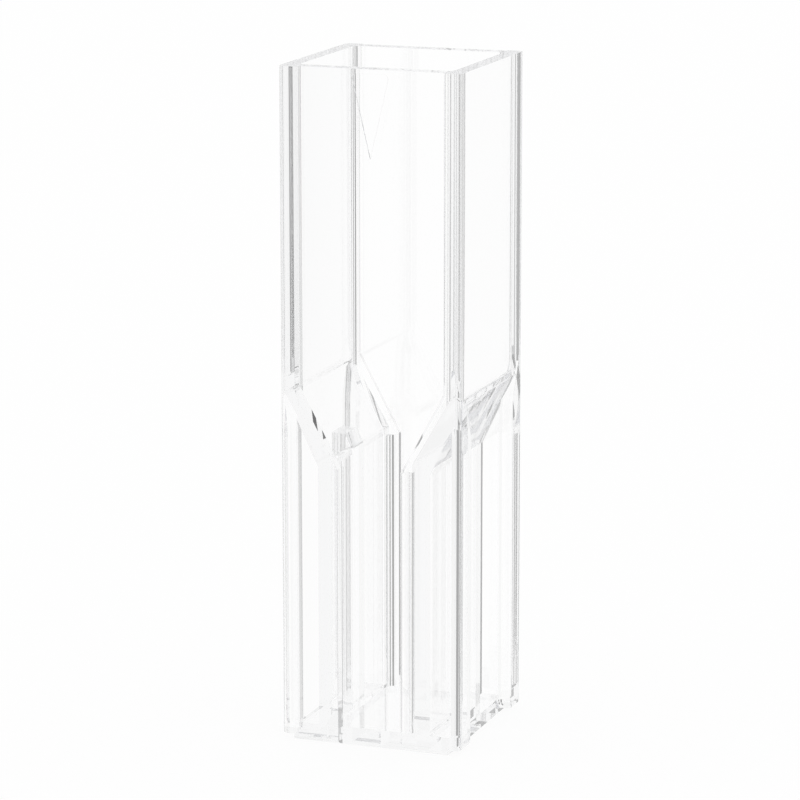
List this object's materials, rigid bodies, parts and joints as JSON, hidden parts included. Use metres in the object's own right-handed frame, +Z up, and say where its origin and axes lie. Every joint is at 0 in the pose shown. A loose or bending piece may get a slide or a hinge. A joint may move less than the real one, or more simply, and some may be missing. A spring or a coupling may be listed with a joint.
{
  "type": "cuvette",
  "caption": "Clear square cuvette: open upper tube, sloping shoulders, narrow measuring chamber between flat windows, open side pockets with corner posts.",
  "frame": {"origin": "centre of the base, on the plane it stands on", "axes": "+Z up to the open rim, Y along the light path through the windows with the marked window at -Y, X across the side pockets"},
  "size_m": [0.0126, 0.0126, 0.045],
  "materials": {
    "clear_plastic": "clear, polished mould surface"
  },
  "bodies": {
    "root": {"cuvette": "clear_plastic"}
  },
  "joints": []
}
